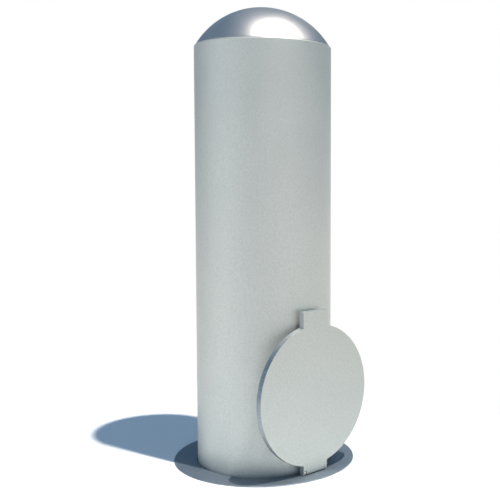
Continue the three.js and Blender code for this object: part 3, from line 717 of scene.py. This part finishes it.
PT = LOCK_Z - BOLT_H / 2 - GAP
lp = cyl("lock_plate_fine", POST_IN - GAP, PT - 8, PT, sides=160, bevel=0.6)
cut(lp, *[cyl("cutter", r, PT - 20, PT + 5, 0, y, 64, 0) for r, y in ((6.4, 0), (CYL_R + 3, SPRING_Y), (CYL_R + 3, -SPRING_Y))])
done(lp, P, "steel", "lock_plate")
for side, word in ((-1, "left"), (1, "right")):
    x0, x1 = (58, 90) if side > 0 else (-90, -58)
    g = box(f"bolt_guide_{word}_fine", x0, x1, -18, 18, PT + GAP, LOCK_Z + BOLT_H / 2 + 5, 0)
    cut(g, box("cutter", x0 - 5, x1 + 5, -10.4, 10.4, PT - 5, LOCK_Z + BOLT_H / 2 + 0.4, 0))
    soften(g, 0.8, 3)
    done(g, P, "steel", f"bolt_guide_{word}")
done(lathe("bump_ring_fine", [(POST_R + 3.2, -129, 0.8), (129, -129, 0.8), (129, -125.4, 1.2), (POST_R + 3.2, -125.4, 1.2)], 128), P, "rubber", "bump_ring")
done(lathe("guide_collar_fine", [
    (POST_R + GAP, -162, 0.4), (130.2, -162, 0.4), (130.9, -160.5, 0.4), (130.9, -151, 0.4), (129.6, -150, 0.4), (129.6, -141, 0.4),
    (130.9, -140, 0.4), (130.9, -131.5, 0.4), (130.2, -129.3, 0.4), (POST_R + GAP, -129.3, 0.4)], 160), P, "nylon", "guide_collar")
done(lathe("post_base_ring_fine", [(95, -172, 0.6), (129, -172, 1.0), (129, POST_BOTTOM - GAP, 0.6), (95, POST_BOTTOM - GAP, 0.6)], 160), P, "steel", "post_base_ring")

# ------------------------------------------------------------------ lock spindle and bolts
done(cyl("lock_spindle_fine", 6.0, -137, 709.5, sides=48, bevel=0.6), S, "steel", "lock_spindle")
head = cyl("key_head_fine", 9.0, 700.3, dome_z(9.0) - 0.2, sides=72, bevel=0.5)
cut(head, cyl("cutter", 6.3, 690, 710, sides=48, bevel=0))
cut(head, box("cutter", -5, 5, -5, 5, 714, 740, 0))
soften(head, 0.35, 2, 50)
done(head, S, "steel", "key_socket_head")
done(lathe("spindle_collar_fine", [(6.3, -135, 0.3), (11, -135, 0.6), (11, PT - 8 - GAP, 0.6), (6.3, PT - 8 - GAP, 0.3)], 64), S, "steel", "spindle_collar")

cz = LOCK_Z + BOLT_H / 2 + 0.5
cam = cyl("lock_cam_fine", 46, cz, cz + 6, sides=128, bevel=0.5)
tools = [cyl("cutter", 6.3, cz - 5, cz + 20, sides=48, bevel=0)]
for turn in (0.0, math.pi):
    w, steps = 4.45, 40

    def c(f, turn=turn):
        phi, r = turn - f * math.pi / 2, 20 + 17 * f
        return Vector((r * math.cos(phi), r * math.sin(phi)))

    def d(f):
        return (c(min(1, f + 1e-3)) - c(max(0, f - 1e-3))).normalized()

    ls, rs = [], []
    for i in range(steps + 1):
        f = i / steps
        p, q = c(f), d(f)
        ls.append((p.x - q.y * w, p.y + q.x * w))
        rs.append((p.x + q.y * w, p.y - q.x * w))
    end = [(c(1).x + (-d(1).y * math.cos(t) + d(1).x * math.sin(t)) * w, c(1).y + (d(1).x * math.cos(t) + d(1).y * math.sin(t)) * w)
           for t in np.linspace(0, math.pi, 14)[1:-1]]
    start = [(c(0).x + (-d(0).y * math.cos(t) - d(0).x * math.sin(t)) * w, c(0).y + (d(0).x * math.cos(t) - d(0).y * math.sin(t)) * w)
             for t in np.linspace(math.pi, 0, 14)[1:-1]]
    tools.append(prism("cutter", ls + end + rs[::-1] + start, "Z", cz - 5, cz + 11, 0))
cut(cam, *tools)
done(cam, S, "steel", "lock_cam")

for side, word in ((-1, "left"), (1, "right")):
    x0, x1 = (13, 108.5) if side > 0 else (-108.5, -13)
    bar = box(f"lock_bolt_{word}_fine", x0, x1, -10, 10, LOCK_Z - 7, LOCK_Z + 7, 0)
    join(bar, cyl("cutter", 4.0, LOCK_Z, LOCK_Z + 14.5, side * 20, 0, 48, 0))
    soften(bar, 0.8, 3, 50)
    done(bar, f"bolt_{word}", "steel", f"lock_bolt_{word}")

# ------------------------------------------------------------------ stage: a plain pale round of paving
def paving():
    t = Tree("pale_paving")
    a = t.noise(220, 3.0, 0.6)
    b = t.noise(12, 3.0, 0.6)
    t.set(Base_Color=t.ramp(t.math("ADD", t.math("MULTIPLY", a, 0.3), t.math("MULTIPLY", b, 0.7)), [(0.3, rgb(0.91, 0.91, 0.91)), (0.7, rgb(0.94, 0.94, 0.94))]),
          Roughness=0.9, Normal=t.bump(a, 0.08, 0.0008))
    return t.mat


floor = lathe("paving", [(FLANGE_R + 0.12, -32), (500, -32, 2), (500, 0, 2), (FLANGE_R + 0.12, 0)], 256)
floor.data.materials.append(paving())
weighted(floor)

# ------------------------------------------------------------------ camera
cam_data = bpy.data.cameras.new("camera")
cam_data.sensor_width = 36.0
cam_data.lens = 61.07
cam_data.shift_x, cam_data.shift_y = -0.19, -0.01
cam_data.clip_start, cam_data.clip_end = 0.02, 100
camera = bpy.data.objects.new("camera", cam_data)
camera.location = (1.06887, -0.88901, 0.45770)
camera.rotation_mode = "QUATERNION"
fwd = Vector((-0.702108, 0.708032, -0.075730)).normalized()
right_v = Vector((0.709892, 0.704303, 0.003273))
right_v = (right_v - fwd * right_v.dot(fwd)).normalized()
camera.rotation_quaternion = Matrix((right_v, right_v.cross(fwd), -fwd)).transposed().to_quaternion()
scene.collection.objects.link(camera)
scene.camera = camera

# ------------------------------------------------------------------ light
def lamp(name, azimuth, elevation, energy, color, angle, diffuse=True):
    """Distant light from a direction given in degrees; a wide angle makes it a softbox."""
    b, e = math.radians(azimuth), math.radians(elevation)
    towards = Vector((math.cos(b) * math.cos(e), math.sin(b) * math.cos(e), math.sin(e)))
    data = bpy.data.lights.new(name, "SUN")
    data.energy, data.color, data.angle = energy, color, math.radians(angle)
    o = bpy.data.objects.new(name, data)
    o.rotation_mode = "QUATERNION"
    o.rotation_quaternion = (-towards).to_track_quat("-Z", "Y")
    o.visible_diffuse = diffuse
    scene.collection.objects.link(o)
    return o


lamp("key", 11.5, 69, 3.5, (1.0, 0.975, 0.93), 1.4)
lamp("softbox", 11.5, 69, 2.3, (1.0, 0.985, 0.935), 55, diffuse=False)    # broad gloss on the polished dome
lamp("fill", -110, 12, 0.55, (0.90, 0.96, 1.0), 70)

world = bpy.data.worlds.new("studio")
scene.world = world
world.use_nodes = True
nt = world.node_tree
nt.nodes.clear()
out = nt.nodes.new("ShaderNodeOutputWorld")
tc = nt.nodes.new("ShaderNodeTexCoord")
sep = nt.nodes.new("ShaderNodeSeparateXYZ")
nt.links.new(tc.outputs["Generated"], sep.inputs["Vector"])
mr = nt.nodes.new("ShaderNodeMapRange")
mr.inputs["From Min"].default_value, mr.inputs["From Max"].default_value = -1.0, 1.0
nt.links.new(sep.outputs["Z"], mr.inputs["Value"])
ramp = nt.nodes.new("ShaderNodeValToRGB")
stops = [(0.0, (1.34, 1.31, 1.27)), (0.487, (1.34, 1.32, 1.29)), (0.50, (0.175, 0.275, 0.395)), (0.58, (0.13, 0.232, 0.355)), (0.70, (0.125, 0.245, 0.40)), (1.0, (0.14, 0.28, 0.47))]
e = ramp.color_ramp.elements
while len(e) < len(stops):
    e.new(0.5)
for i, (p, col) in enumerate(stops):
    e[i].position, e[i].color = p, (*col, 1)
nt.links.new(mr.outputs["Result"], ramp.inputs["Fac"])
bg_light = nt.nodes.new("ShaderNodeBackground")
nt.links.new(ramp.outputs["Color"], bg_light.inputs["Color"])
bg_light.inputs["Strength"].default_value = 0.80
bg_cam = nt.nodes.new("ShaderNodeBackground")
bg_cam.inputs["Color"].default_value = (1, 1, 1, 1)
bg_cam.inputs["Strength"].default_value = 1.0
lp_node = nt.nodes.new("ShaderNodeLightPath")
mx = nt.nodes.new("ShaderNodeMixShader")
nt.links.new(lp_node.outputs["Is Camera Ray"], mx.inputs[0])
nt.links.new(bg_light.outputs[0], mx.inputs[1])
nt.links.new(bg_cam.outputs[0], mx.inputs[2])
nt.links.new(mx.outputs[0], out.inputs["Surface"])

scene.view_settings.view_transform = "Standard"
scene.view_settings.look = "None"
scene.view_settings.exposure = 0.0
scene.view_settings.gamma = 1.0
